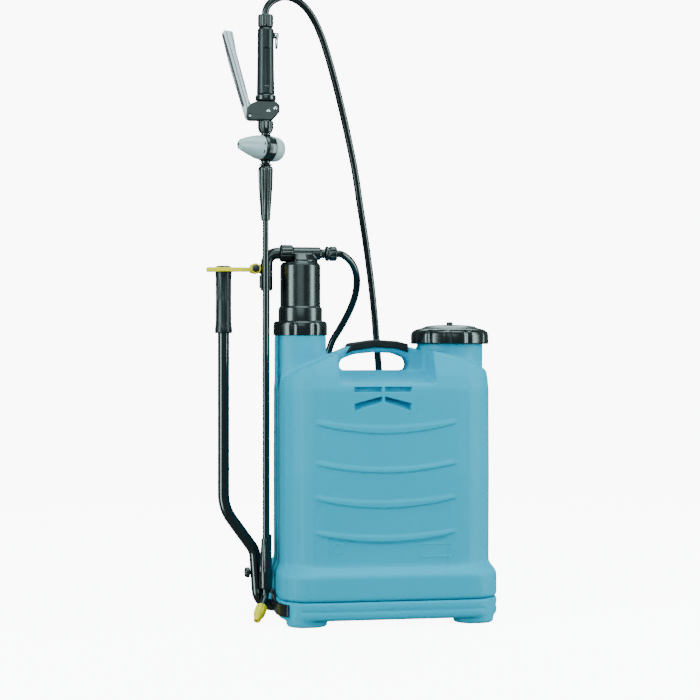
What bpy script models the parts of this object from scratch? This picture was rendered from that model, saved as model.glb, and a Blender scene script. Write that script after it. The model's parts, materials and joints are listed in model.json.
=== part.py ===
"""Backpack sprayer: a 16 litre tank with a lever pump, a hose and a stowed spray lance.

Run with: blender --background --python part.py
Lengths in this file are written in millimetres and turned into metres by MM.
The layout is drawn about the middle of the tank; +X is the right side seen from the front,
+Y points to the back that lies against the wearer, and +Z is up from the floor.
"""

import math

import bmesh
import bpy
from mathutils import Quaternion, Vector

MM = 0.001
GAP = 0.3  # left between faces that touch

# ---------------------------------------------------------------- driving dimensions, mm
TANK_HALF_WIDTH, TANK_HALF_DEPTH, TANK_CORNER = 145.0, 97.0, 56.0
BAND_HALF_WIDTH, BAND_HALF_DEPTH, BAND_CORNER = 151.0, 105.0, 45.0
WALL = 3.2
BASE_TOP = 34.0  # parting line between the base and the tank
BAND_TOP, LEDGE_TOP = 68.0, 80.0
SHOULDER = 318.0

HANDLE_HALF_DEPTH = 20.0
HANDLE_OPENING = [(-57, 343), (-61, 348), (-59, 358), (-40, 365), (-11, 368), (18, 366.5),
                  (35, 360), (38, 350), (35, 343)]
ARCH = [(-145.6, 329.5), (-119, 346), (-84, 361), (-64, 369), (-44, 377), (-11, 382), (20, 380),
        (44, 374), (66, 369), (98, 361), (128, 350), (145.6, 340.5)]
POCKET_X = (-72.0, 60.0)
POCKET_FLOOR = (317.0, 342.0)  # its height at the outer faces and beside the handle

PUMP_X = -112.8
NECK_TOP, SPIGOT_TOP = 390.7, 400.0
NECK_R, SPIGOT_R, NECK_BORE = 36.1, 34.6, 33.0
HEAD_Z = 505.0  # axis of the bosses on the pump head

FILLER_X = 100.0
FILLER_R, FILLER_BORE, FILLER_TOP = 46.4, 43.0, 394.0
CAP_R, CAP_BOTTOM = 55.0, 379.3

AXLE_Z, TUBE_R, TUBE_BORE = 18.0, 8.0, 6.3
CRANK = 46.0  # from the axle up to the crank bolt
CRANK_Z = AXLE_Z + CRANK
LEVER_X = -219.6
ROD_X, ROD_R = -159.8, 4.4
EYE_FACE_X = -162.6  # the side of the rod's eye that faces the lever

LANCE_X, LANCE_Y, LANCE_R = -164.5, -26.0, 4.2
VALVE_Z = (684.4, 711.0)
TRIGGER_PIVOT = (-187.0, 690.0)
STEM_Z = 701.0
REGULATOR_AT = (-163.0, -26.0, 647.0)
REGULATOR_AXIS = (-0.905, -0.42, 0.06)
ELBOW_CORNER = Vector((LANCE_X, LANCE_Y, 34.0))
NOZZLE_AXIS = Vector((-0.36, -0.66, -0.66)).normalized()
NOZZLE_AT = ELBOW_CORNER + 18 * NOZZLE_AXIS
LOOP_PIVOT, LOOP_R = (-149.5, -26.0, 802.0), 9.0

HOSE_R = 5.0
HOSE_FROM_PUMP = [(-61.0, 0, 505), (-55.5, 0.2, 504.8), (-47, 4, 500.5), (-38, 10, 492.5),
                  (-31.5, 17, 481), (-28, 27, 467), (-27.5, 41, 451), (-30, 57, 435),
                  (-35, 75, 418), (-42, 92, 401), (-50, 106, 384), (-55, 113.5, 364),
                  (-58, 116.5, 335), (-59.5, 117, 300), (-60, 117, 260), (-60, 117, 220),
                  (-58.5, 117, 185), (-53, 117, 158), (-42, 117, 137.5), (-27, 117, 127.2), (-20.4, 117, 127)]
HOSE_TO_LANCE = [(-19.6, 117, 127), (-13, 117, 127.2), (3, 117, 136), (17, 117, 157), (23, 117, 185), (24, 117, 225),
                 (24, 117, 265), (23, 116, 305), (19.5, 112, 347), (15, 107, 391), (11, 101, 426),
                 (6, 94, 461), (0, 86, 496), (-7.5, 76, 535), (-17, 64, 580), (-26, 52, 624),
                 (-37.5, 40, 669), (-50, 27, 712), (-64, 14, 756), (-78, 3, 795),
                 (-91, -5, 823), (-105, -12, 842), (-121, -18, 853), (-137, -23, 856),
                 (-151, -25.5, 851.5), (-160.5, -26, 843.5), (-164.4, -26, 835.5), (-164.5, -26, 830.1)]

STRAP_X, STRAP_HALF_WIDTH = 90.0, 20.0
STRAP_PAD = [(105.3, 315), (112.6, 306), (119, 288), (123, 262), (124.5, 235), (124, 208), (121.5, 180)]
STRAP_WEB = [(120, 160), (117, 135), (113.5, 108), (110.5, 84), (109, 64)]

# ---------------------------------------------------------------- materials
BLUE = ("tank_blue", (0.0, 0.48, 0.86), 0.35, 0.0)
BLACK = ("black_plastic", (0.012, 0.014, 0.018), 0.38, 0.0)
RUBBER = ("black_rubber", (0.015, 0.015, 0.016), 0.6, 0.0)
HOSE = ("hose_rubber", (0.014, 0.016, 0.02), 0.32, 0.0)
STEEL_BLACK = ("black_painted_steel", (0.012, 0.013, 0.016), 0.28, 0.3)
STEEL = ("bright_steel", (0.62, 0.63, 0.65), 0.25, 1.0)
GREY = ("grey_plastic", (0.5, 0.53, 0.55), 0.4, 0.0)
SILVER = ("silver_plastic", (0.42, 0.45, 0.48), 0.25, 0.2)
YELLOW = ("yellow_plastic", (0.95, 0.72, 0.02), 0.4, 0.0)
NATURAL = ("natural_plastic", (0.8, 0.8, 0.76), 0.45, 0.0)
WEBBING = ("strap_webbing", (0.02, 0.02, 0.022), 0.85, 0.0)
PADDING = ("strap_padding", (0.025, 0.025, 0.028), 0.9, 0.0)

ALONG_X, ALONG_Y, ALONG_Z = (1, 0, 0), (0, 1, 0), (0, 0, 1)
CORDS = ("hose_pump_side", "hose_lance_side")


# ---------------------------------------------------------------- modelling helpers
def material_of(spec):
    """The Principled material of a (name, colour, roughness, metallic) tuple."""
    name, colour, roughness, metallic = spec
    material = bpy.data.materials.get(name)
    if material is None:
        material = bpy.data.materials.new(name)
        material.use_nodes = True
        shader = material.node_tree.nodes["Principled BSDF"]
        shader.inputs["Base Color"].default_value = (*colour, 1.0)
        shader.inputs["Roughness"].default_value = roughness
        shader.inputs["Metallic"].default_value = metallic
    return material


def add_object(name, bm, spec):
    """A new object from a bmesh drawn in millimetres; with no material it is only a tool."""
    bmesh.ops.scale(bm, vec=(MM, MM, MM), verts=bm.verts)
    bmesh.ops.recalc_face_normals(bm, faces=bm.faces)
    mesh = bpy.data.meshes.new(name)
    bm.to_mesh(mesh)
    bm.free()
    mesh.shade_smooth()
    mesh.set_sharp_from_angle(angle=math.radians(35))
    obj = bpy.data.objects.new(name, mesh)
    bpy.context.scene.collection.objects.link(obj)
    obj.parent = bpy.data.objects["frame_origin"]
    if spec:
        mesh.materials.append(material_of(spec))
    else:
        obj.hide_render = True
        obj.display_type = "WIRE"
    return obj


def place(obj, at, axis):
    """Put a turned shape's own Z along axis, with its origin at the point at."""
    obj.location = Vector(at) * MM
    obj.rotation_mode = "QUATERNION"
    obj.rotation_quaternion = Vector((0, 0, 1)).rotation_difference(Vector(axis).normalized())
    return obj


def turned(name, profile, spec=None, at=(0, 0, 0), axis=ALONG_Z, segments=24):
    """Spin (radius, height) points round the axis; a profile off the axis closes into a ring."""
    bm = bmesh.new()
    points = [bm.verts.new((radius, 0, height)) for radius, height in profile]
    for a, b in zip(points, points[1:]):
        bm.edges.new((a, b))
    if profile[0][0] > 0 or profile[-1][0] > 0:
        bm.edges.new((points[-1], points[0]))
    bmesh.ops.spin(bm, geom=bm.verts[:] + bm.edges[:], cent=(0, 0, 0), axis=(0, 0, 1),
                   angle=math.tau, steps=segments, use_merge=True)
    bmesh.ops.remove_doubles(bm, verts=bm.verts, dist=0.0005)
    return place(add_object(name, bm, spec), at, axis)


def rod(radius, low, high):
    """The profile of a plain solid rod."""
    return [(0, high), (radius, high), (radius, low), (0, low)]


def ring(bore, radius, low, high, chamfer=0.0):
    """The profile of a sleeve, with its outer edges chamfered if asked."""
    if not chamfer:
        return [(bore, high), (radius, high), (radius, low), (bore, low)]
    return [(bore, high), (radius - chamfer, high), (radius, high - chamfer),
            (radius, low + chamfer), (radius - chamfer, low), (bore, low)]


def ball(name, radius, spec, at):
    bm = bmesh.new()
    bmesh.ops.create_uvsphere(bm, u_segments=14, v_segments=8, radius=radius)
    return place(add_object(name, bm, spec), at, ALONG_Z)


def box(name, low, high, spec=None):
    bm = bmesh.new()
    bmesh.ops.create_cube(bm, size=1.0)
    size = [b - a for a, b in zip(low, high)]
    bmesh.ops.scale(bm, vec=size, verts=bm.verts)
    bmesh.ops.translate(bm, vec=[(a + b) / 2 for a, b in zip(low, high)], verts=bm.verts)
    return add_object(name, bm, spec)


def extruded(name, outline, low, high, plane="XY", spec=None):
    """Extrude a flat outline from low to high across its plane."""
    where = {"XY": lambda a, b, c: (a, b, c), "XZ": lambda a, b, c: (a, c, b),
             "YZ": lambda a, b, c: (c, a, b)}[plane]
    bm = bmesh.new()
    face = bm.faces.new([bm.verts.new(where(a, b, low)) for a, b in outline])
    side = bmesh.ops.extrude_face_region(bm, geom=[face])
    moved = [g for g in side["geom"] if isinstance(g, bmesh.types.BMVert)]
    bmesh.ops.translate(bm, vec=where(0, 0, high - low), verts=moved)
    return add_object(name, bm, spec)


def rounded_rectangle(half_width, half_depth, corner, steps=5):
    """The corners of a rounded rectangle, anticlockwise."""
    points = []
    for quarter, (sx, sy) in enumerate([(1, 1), (-1, 1), (-1, -1), (1, -1)]):
        for step in range(steps + 1):
            turn = math.radians(90) * (quarter + step / steps)
            points.append((sx * (half_width - corner) + corner * math.cos(turn),
                           sy * (half_depth - corner) + corner * math.sin(turn)))
    return points


def lofted(name, sections, spec=None):
    """Skin rounded rectangles given as (height, half width, half depth, corner radius)."""
    bm = bmesh.new()
    loops = [[bm.verts.new((x, y, height)) for x, y in rounded_rectangle(*size)]
             for height, *size in sections]
    for low, high in zip(loops, loops[1:]):
        for i in range(len(low)):
            j = (i + 1) % len(low)
            bm.faces.new((low[i], low[j], high[j], high[i]))
    bm.faces.new(loops[0][::-1])
    bm.faces.new(loops[-1])
    return add_object(name, bm, spec)


def rounded_path(corners, radii, steps=6):
    """A path through the corner points with each inner corner turned into an arc."""
    corners = [Vector(c) for c in corners]
    path = [corners[0]]
    for before, corner, after, radius in zip(corners, corners[1:], corners[2:], radii):
        a, b = (before - corner).normalized(), (after - corner).normalized()
        half = a.angle(b) / 2
        centre = corner + (a + b).normalized() * radius / math.sin(half)
        start = corner + a * radius / math.tan(half) - centre
        sweep = math.pi - 2 * half
        normal = start.cross(corner + b * radius / math.tan(half) - centre).normalized()
        path += [centre + Quaternion(normal, sweep * i / steps) @ start for i in range(steps + 1)]
    return path + [corners[-1]]


def swept(name, path, radius, bore=0.0, spec=None, sides=14):
    """A round bar, or a tube when it has a bore, along a path."""
    path = [Vector(p) for p in path]
    tangents = [(path[min(i + 1, len(path) - 1)] - path[max(i - 1, 0)]).normalized()
                for i in range(len(path))]
    across = tangents[0].orthogonal().normalized()
    bm = bmesh.new()
    outer, inner = [], []
    for point, tangent in zip(path, tangents):
        across = (across - tangent * across.dot(tangent)).normalized()
        other = tangent.cross(across)
        for rings, r in ((outer, radius), (inner, bore)):
            if r:
                rings.append([bm.verts.new(point + r * (across * math.cos(math.tau * k / sides)
                                                        + other * math.sin(math.tau * k / sides)))
                              for k in range(sides)])
    for rings in (outer, inner):
        for a, b in zip(rings, rings[1:]):
            for k in range(sides):
                m = (k + 1) % sides
                bm.faces.new((a[k], a[m], b[m], b[k]))
    for end in (0, -1):
        if bore:
            for k in range(sides):
                m = (k + 1) % sides
                bm.faces.new((outer[end][k], outer[end][m], inner[end][m], inner[end][k]))
        else:
            bm.faces.new(outer[end])
    return add_object(name, bm, spec)


def wire_ring(name, circle, radius, spec, sides=8):
    """A closed ring of wire through the points of a flat circle."""
    circle = [Vector(p) for p in circle]
    centre = sum(circle, Vector()) / len(circle)
    axis = (circle[0] - centre).cross(circle[1] - centre).normalized()
    bm = bmesh.new()
    rings = []
    for point in circle:
        outward = (point - centre).normalized()
        rings.append([bm.verts.new(point + radius * (outward * math.cos(math.tau * k / sides)
                                                     + axis * math.sin(math.tau * k / sides)))
                      for k in range(sides)])
    for a, b in zip(rings, rings[1:] + rings[:1]):
        for k in range(sides):
            m = (k + 1) % sides
            bm.faces.new((a[k], a[m], b[m], b[k]))
    return add_object(name, bm, spec)


def combine(obj, operation, *tools):
    """Boolean modifiers on obj, one for each tool."""
    for tool in tools:
        modifier = obj.modifiers.new(f"{operation} {tool.name}", "BOOLEAN")
        modifier.operation = operation
        modifier.solver = "EXACT"
        modifier.object = tool
    return obj


def add(obj, *tools):
    return combine(obj, "UNION", *tools)


def cut(obj, *tools):
    return combine(obj, "DIFFERENCE", *tools)


def smooth_route(points, spacing, end=5.0):
    """Points about spacing apart on a Catmull-Rom curve, with a short straight step at each end."""
    points = [Vector(p) for p in points]
    guides = [2 * points[0] - points[1], *points, 2 * points[-1] - points[-2]]
    fine = [points[0]]
    for a, b, c, d in zip(guides, guides[1:], guides[2:], guides[3:]):
        for step in range(1, 13):
            t = step / 12
            fine.append(0.5 * (2 * b + (c - a) * t + (2 * a - 5 * b + 4 * c - d) * t * t
                               + (3 * b - a - 3 * c + d) * t ** 3))
    walked = [0.0]
    for before, after in zip(fine, fine[1:]):
        walked.append(walked[-1] + (after - before).length)
    total = walked[-1]
    count = round((total - 2 * end) / spacing)
    stations = [0.0, *[end + (total - 2 * end) * i / count for i in range(count + 1)], total]
    route, here = [], 0
    for station in stations:
        while here < len(walked) - 2 and walked[here + 1] < station:
            here += 1
        share = (station - walked[here]) / (walked[here + 1] - walked[here])
        route.append(fine[here].lerp(fine[here + 1], share))
    return route


def hose(name, points):
    """A plain tube for one stretch of the hose."""
    curve = bpy.data.curves.new(name, "CURVE")
    curve.dimensions = "3D"
    curve.bevel_depth = HOSE_R * MM
    curve.bevel_resolution = 2
    curve.use_fill_caps = True
    spline = curve.splines.new("POLY")
    route = smooth_route(points, 20.0)
    spline.points.add(len(route) - 1)
    for point, place_at in zip(spline.points, route):
        point.co = (*(place_at * MM), 1.0)
    curve.materials.append(material_of(HOSE))
    obj = bpy.data.objects.new(name, curve)
    bpy.context.scene.collection.objects.link(obj)
    obj.parent = bpy.data.objects["frame_origin"]


# ---------------------------------------------------------------- tank and base
def make_tank():
    w, d, r, t = TANK_HALF_WIDTH, TANK_HALF_DEPTH, TANK_CORNER, WALL
    bw, bd, br = BAND_HALF_WIDTH, BAND_HALF_DEPTH, BAND_CORNER
    tank = lofted("tank_shell", [
        (BASE_TOP + GAP, bw - 1, bd - 1, br - 1), (BASE_TOP + 3, bw, bd, br), (BAND_TOP, bw, bd, br),
        (LEDGE_TOP, w, d - 2, r), (200, w, d, r), (SHOULDER, w, d - 2, r), (336, w - 1, d - 7, r - 2),
        (356, w - 4, d - 17, r - 6), (390, w - 9, d - 34, r - 12)], BLUE)
    sky = extruded("above_arch", [*ARCH, (160, ARCH[-1][1] - 6), (160, 440), (-160, 440),
                                  (-160, ARCH[0][1] - 6)], -120, 120, "XZ")
    low, high = POCKET_FLOOR
    front = extruded("front_pocket", [(-HANDLE_HALF_DEPTH, high), (-HANDLE_HALF_DEPTH, 420),
                                      (-130, 420), (-130, low)], POCKET_X[0], POCKET_X[1], "YZ")
    back = extruded("back_pocket", [(HANDLE_HALF_DEPTH, high), (HANDLE_HALF_DEPTH, 420),
                                    (130, 420), (130, low)], POCKET_X[0], POCKET_X[1], "YZ")
    opening = extruded("handle_opening", HANDLE_OPENING, -40, 40, "XZ")
    pump_neck = turned("pump_neck", [(0, SPIGOT_TOP), (SPIGOT_R, SPIGOT_TOP), (SPIGOT_R, NECK_TOP),
                                     (NECK_R, NECK_TOP), (NECK_R, 321), (0, 321)],
                       at=(PUMP_X, 0, 0), segments=32)
    filler_neck = turned("filler_neck", rod(FILLER_R, 322, FILLER_TOP), at=(FILLER_X, 0, 0),
                         segments=32)
    cut(tank, sky, front, back, opening)
    add(tank, pump_neck, filler_neck)

    cavity = lofted("cavity", [
        (BASE_TOP + t + 1, bw - t - 2, bd - t - 2, br - t - 1), (BAND_TOP - 2, bw - t, bd - t, br - t),
        (LEDGE_TOP, w - t, d - 2 - t, r - t), (200, w - t, d - t, r - t),
        (SHOULDER, w - t, d - 2.5 - t, r - t), (334, w - 1.5 - t, d - 8 - t, r - 3 - t),
        (354, w - 5 - t, d - 19 - t, r - 8 - t), (388, w - 10 - t, d - 36 - t, r - 13 - t)])
    roof = extruded("cavity_roof", [*[(x, z - t - 0.6) for x, z in ARCH], (160, ARCH[-1][1] - 10),
                                    (160, 440), (-160, 440), (-160, ARCH[0][1] - 10)], -120, 120, "XZ")
    under = extruded("pocket_roof", [(-18, high - t - 0.6), (18, high - t - 0.6), (130, low - t),
                                     (130, 430), (-130, 430), (-130, low - t)],
                     POCKET_X[0] - t, POCKET_X[1] + t, "YZ")
    cut(cavity, roof, under)
    pump_bore = turned("pump_bore", rod(NECK_BORE, 325, 430), at=(PUMP_X, 0, 0), segments=32)
    filler_bore = turned("filler_bore", rod(FILLER_BORE, 329, 430), at=(FILLER_X, 0, 0), segments=32)
    cut(tank, add(cavity, pump_bore, filler_bore))

    grip_top = [(x, z + 3.6) for x, z in ARCH if -64 <= x <= 44]
    grip_low = [(x, z - 7.5) for x, z in ARCH if -64 <= x <= 44]
    grip = extruded("carry_grip", [(-54, 364), *grip_top[1:-1], (36, 379.5), (36, 367),
                                   *grip_low[1:-1][::-1]], -23, 23, "XZ", BLACK)
    seat = extruded("carry_grip_seat", [(x, z + GAP) for x, z in ARCH], -HANDLE_HALF_DEPTH - GAP,
                    HANDLE_HALF_DEPTH + GAP, "XZ")
    cut(grip, seat)


def make_base():
    bw, bd, br = BAND_HALF_WIDTH, BAND_HALF_DEPTH, BAND_CORNER
    base = lofted("base_skirt", [(9, bw - 2, bd - 2, br - 2), (13, bw, bd, br), (BASE_TOP, bw, bd, br)],
                  BLUE)
    hollow = lofted("base_hollow", [(5, bw - 4, bd - 4, br - 4), (BASE_TOP - 5, bw - 4, bd - 4, br - 4)])
    cut(base, hollow)
    for sx, side in ((-1, "left"), (1, "right")):
        for sy, end in ((-1, "front"), (1, "back")):
            foot = lofted(f"foot_{side}_{end}", [(0, 26, 22, 22), (2, 28, 24, 24), (BASE_TOP - 4, 28, 24, 24)])
            foot.location = Vector((sx * 115, sy * 76, 0)) * MM
            add(base, foot)
    for name, low, high in (("outer", -148, -137), ("inner", -82, -70)):
        add(base, turned(f"{name}_boss", rod(14, low, high), at=(0, 0, AXLE_Z), axis=ALONG_X))
    cut(base, turned("outer_bush_bore", rod(10.8, -160, -130), at=(0, 0, AXLE_Z), axis=ALONG_X),
        turned("inner_bush_bore", rod(10.8, -86, -66), at=(0, 0, AXLE_Z), axis=ALONG_X))
    turned("axle_bush_outer", ring(TUBE_R + GAP, 10.5, -149, -137), NATURAL, (0, 0, AXLE_Z), ALONG_X)
    turned("axle_bush_inner", ring(TUBE_R + GAP, 10.5, -82, -70), NATURAL, (0, 0, AXLE_Z), ALONG_X)


def make_filler():
    at = (FILLER_X, 0, 0)
    turned("strainer_basket", [(46, 396.3), (46, 394.3), (42.4, 394.3), (40.5, 338), (0, 338),
                               (0, 340), (38.8, 340), (40.8, 396.3)], NATURAL, at, segments=32)
    turned("cap_gasket", ring(38, 46, 396.6, 398.6), RUBBER, at, segments=32)
    turned("filler_cap", [(5, 406.5), (22, 406), (38, 403.8), (49, 400), (53.5, 396.5), (CAP_R, 392),
                          (CAP_R, 381), (CAP_R - 1, CAP_BOTTOM), (47.4, CAP_BOTTOM), (47.4, 398.9),
                          (5, 398.9)], BLACK, at, segments=36)
    turned("cap_vent_valve", [(0, 410.5), (3.6, 410.5), (4.6, 409), (4.6, 398.6), (9, 398.6),
                              (9, 396.8), (0, 396.8)], RUBBER, at, segments=16)


# ---------------------------------------------------------------- pump
def make_pump():
    at = (PUMP_X, 0, 0)
    turned("pump_nut", [(31.4, 411), (34.5, 411), (37, 408.5), (37.5, 405), (37.5, NECK_TOP + GAP),
                        (35, NECK_TOP + GAP), (35, 403.7), (31.4, 403.7)], BLACK, at, segments=32)
    turned("pump_cylinder", [(31, 403.3), (34.4, 403.3), (34.4, 400.3), (32.4, 400.3), (32.4, 338),
                             (28, 332), (28, 112), (26, 112), (26, 335), (31, 341)], NATURAL, at)
    turned("foot_valve", [(5, 118), (25.6, 118), (25.6, 111.7), (28, 111.7), (28, 102), (20, 98),
                          (5, 98)], NATURAL, at)
    ball("intake_ball", 6.5, STEEL, (PUMP_X, 0, 122.6))
    turned("pressure_chamber", [(25.5, 490), (27, 490), (28, 487), (28, 431), (30.5, 429.5),
                                (30.5, 400), (22, 396), (22, 200), (19, 200), (19, 398), (25.5, 403)],
           BLACK, at, segments=32)
    turned("piston", ring(6, 25.2, 192, 199.7), NATURAL, at)
    turned("piston_cup_seal", ring(8, 25.8, 186, 191.7, 0.8), RUBBER, at)
    ball("outlet_ball", 7.5, STEEL, (PUMP_X, 0, 204.9))
    head = turned("pump_head", [(0, 499), (9.6, 499), (10.4, 492.6), (25, 492.4), (26.8, 490.4), (25.2, 490.4),
                                (25.2, 484), (0, 484)], BLACK, at)
    at_boss = (0, 0, HEAD_Z)
    saddle = turned("head_saddle", [(0, 491), (24, 491), (24, 495), (19, 503.5), (0, 503.5)], at=at,
                    segments=28)
    cut(saddle, box("beside_the_rod_nut", (-150, -30, 480), (-123.4, 30, 510)))
    add(head, saddle)
    add(head, turned("head_barrel", rod(9.3, -123.4, -85), at=at_boss, axis=ALONG_X, segments=20),
        turned("head_outlet", [(0, -62), (4, -62), (4, -77.8), (6.5, -77.8), (6.5, -90), (0, -90)],
               at=at_boss, axis=ALONG_X, segments=16))
    turned("rod_boss_nut", ring(6.6, 12, -141.2, -123.7, 1.2), BLACK, at_boss, ALONG_X)
    turned("hose_nut_pump", ring(4.3, 10.3, -77.5, -61.6, 1.0), BLACK, at_boss, ALONG_X)


def make_rod():
    arm = swept("rod_elbow", rounded_path([(-141.5, 0, HEAD_Z), (ROD_X, 0, HEAD_Z), (ROD_X, 0, 453)],
                                          [15]), 8.3, spec=BLACK, sides=16)
    add(arm, turned("elbow_journal", rod(6.2, -146, -124), at=(0, 0, HEAD_Z), axis=ALONG_X, segments=16),
        box("clip_ear", (-183, -0.7, 477), (-163, 4.8, 489)),
        box("cradle_block", (-170.8, -24.5, 456), (-158.2, -4, 474)))
    cut(arm, turned("rod_socket", rod(ROD_R + GAP, 440, 486), at=(ROD_X, 0, 0), segments=16),
        turned("cradle_groove", rod(LANCE_R + 0.5, 440, 500), at=(LANCE_X, LANCE_Y, 0), segments=16),
        turned("ear_bore", rod(3.5, -2, 10), at=(-177, 0, 483), axis=ALONG_Y, segments=14))
    turned("link_rod", rod(ROD_R, 81, 484), STEEL_BLACK, (ROD_X, 0, 0), segments=14)
    eye = turned("rod_eye", rod(9, EYE_FACE_X, -155.6), BLACK, (0, 0, CRANK_Z), ALONG_X, segments=20)
    add(eye, turned("eye_socket", rod(6.6, 71, 116), at=(-159.1, 0, 0), segments=16))
    cut(eye, turned("eye_bore", rod(4.3, -170, -150), at=(0, 0, CRANK_Z), axis=ALONG_X, segments=16),
        turned("eye_rod_hole", rod(ROD_R + GAP, 80.5, 130), at=(ROD_X, 0, 0), segments=16),
        box("eye_flat", (-175, -15, 60), (EYE_FACE_X, 15, 100)))
    turned("rod_eye_rivet", [(0, -153.8), (6, -153.8), (6, -155.3), (4, -155.3), (4, -162.3),
                             (0, -162.3)], STEEL, (0, 0, CRANK_Z), ALONG_X, segments=16)


def make_lever_clip():
    clip = extruded("lever_clip", [(-243, -17), (-180, -17), (-180, -7), (-204, -5), (-206.5, 6),
                                   (-207.4, 6), (-231.8, 6), (-243, 6)], 478.5, 484.5, "XY", YELLOW)
    add(clip, turned("clip_hub", rod(7.5, -17, -1), at=(-177, 0, 483), axis=ALONG_Y, segments=20))
    cut(clip, turned("clip_seat", rod(12.4, 470, 495), at=(LEVER_X, 0, 0), segments=28),
        box("clip_mouth", (LEVER_X - 12.4, 0, 470), (LEVER_X + 12.4, 20, 495)),
        turned("clip_bore", rod(3.5, -30, 10), at=(-177, 0, 483), axis=ALONG_Y, segments=14))
    turned("lever_clip_pin", [(0, 6.5), (3.2, 6.5), (3.2, -17.3), (5, -17.3), (5, -19.5), (0, -19.5)],
           BLACK, (-177, 0, 483), ALONG_Y, segments=16)


def make_lever():
    path = rounded_path([(-61, 0, AXLE_Z), (-171.3, 0, AXLE_Z), (-176.6, 0, 94), (LEVER_X, 0, 153.5),
                         (LEVER_X, 0, 483)], [22, 26, 60], 5)
    tube = swept("lever_tube", path, TUBE_R, TUBE_BORE, STEEL_BLACK, sides=14)
    cut(tube, turned("bolt_hole", rod(3.3, -200, -150), at=(0, 0, CRANK_Z), axis=ALONG_X, segments=14))
    turned("lever_bolt", [(0, -163), (6, -163), (6, -165.2), (3, -165.2), (3, -183.5), (7.2, -183.5),
                          (7.2, -188.5), (5.5, -190.5), (0, -190.5)], BLACK, (0, 0, CRANK_Z), ALONG_X,
           segments=18)
    turned("lever_grip", [(0, 487), (9.5, 487), (11.2, 484.5), (11.4, 470), (10.6, 440), (10.8, 402),
                          (12, 398), (12, 394), (TUBE_R + GAP, 394), (TUBE_R + GAP, 483.6),
                          (0, 483.6)], RUBBER, (LEVER_X, 0, 0))
    turned("axle_end_clip", ring(TUBE_R + GAP, 10.4, -66, -63.6), STEEL, (0, 0, AXLE_Z), ALONG_X)


# ---------------------------------------------------------------- lance
def make_trigger_valve():
    at = (LANCE_X, LANCE_Y, 0)
    turned("hose_nut_lance", ring(5.2, 10.7, 812.8, 829.6, 1.2), BLACK, at)
    grip = turned("valve_grip", [(4, 824), (5, 824), (5, 812.5), (9, 812.2), (11.2, 809), (11.3, 790),
                                 (11.6, 760), (12.3, 722), (12.3, 720.3), (4, 720.3)], BLACK, at)
    add(grip, box("loop_lug", (-155.5, LANCE_Y - 2, 797.5), (-146.4, LANCE_Y + 2, 805.5)))
    cut(grip, turned("loop_hole", rod(2.0, -40, -10), at=(LOOP_PIVOT[0], 0, LOOP_PIVOT[2]),
                     axis=ALONG_Y, segments=14))
    turned("grip_collar", ring(4, 14.1, VALVE_Z[1] + GAP, 720, 1.6), BLACK, at)
    low, high = VALVE_Z
    body = extruded("valve_body", [(-192, 688), (-191, 701), (-184, 708), (-176, high), (-152, high),
                                   (-146, 706), (-146, 696), (-152, 689), (-156, low), (-188, low)],
                    LANCE_Y - 8, LANCE_Y + 8, "XZ", BLACK)
    px, pz = TRIGGER_PIVOT
    cut(body, box("trigger_slot", (-215, LANCE_Y - 5, 670), (-179.6, LANCE_Y + 5, 730)),
        turned("trigger_pin_bore", rod(2.0, -60, 0), at=(px, 0, pz), axis=ALONG_Y, segments=12),
        turned("stem_bore", rod(3.4, -200, -153), at=(0, LANCE_Y, STEM_Z), axis=ALONG_X, segments=12))
    turned("trigger_pin", rod(1.7, LANCE_Y - 8.6, LANCE_Y + 8.6), STEEL, (px, 0, pz), ALONG_Y, 12)
    turned("valve_stem", [(0, -162), (3, -162), (3, -175), (1.6, -175.3), (1.6, -183), (0, -183)],
           STEEL, (0, LANCE_Y, STEM_Z), ALONG_X, segments=12)
    turned("valve_spring", ring(1.8, 2.9, -161.6, -153.4), STEEL, (0, LANCE_Y, STEM_Z), ALONG_X, 12)
    trigger = extruded("trigger", [(-192, 686.5), (-187, 685.6), (-183.3, 688), (-182.6, 697),
                                   (-184.5, 703), (-189, 712), (-204, 772), (-210, 805),
                                   (-221.5, 806.5), (-224.5, 802), (-215, 762), (-198, 706)],
                       LANCE_Y - 4.6, LANCE_Y + 4.6, "XZ", SILVER)
    cut(trigger, extruded("trigger_channel", [(-176, 716), (-190.5, 716), (-206, 772), (-212, 803.5),
                                              (-195, 803.5)], LANCE_Y - 3.2, LANCE_Y + 3.2, "XZ"),
        turned("trigger_bore", rod(2.0, -60, 0), at=(px, 0, pz), axis=ALONG_Y, segments=12))
    lx, ly, lz = LOOP_PIVOT
    circle = [(lx, ly + LOOP_R * math.sin(math.tau * k / 20),
               lz - LOOP_R + LOOP_R * math.cos(math.tau * k / 20)) for k in range(20)]
    wire_ring("hanging_loop", circle, 1.1, STEEL)


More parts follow.
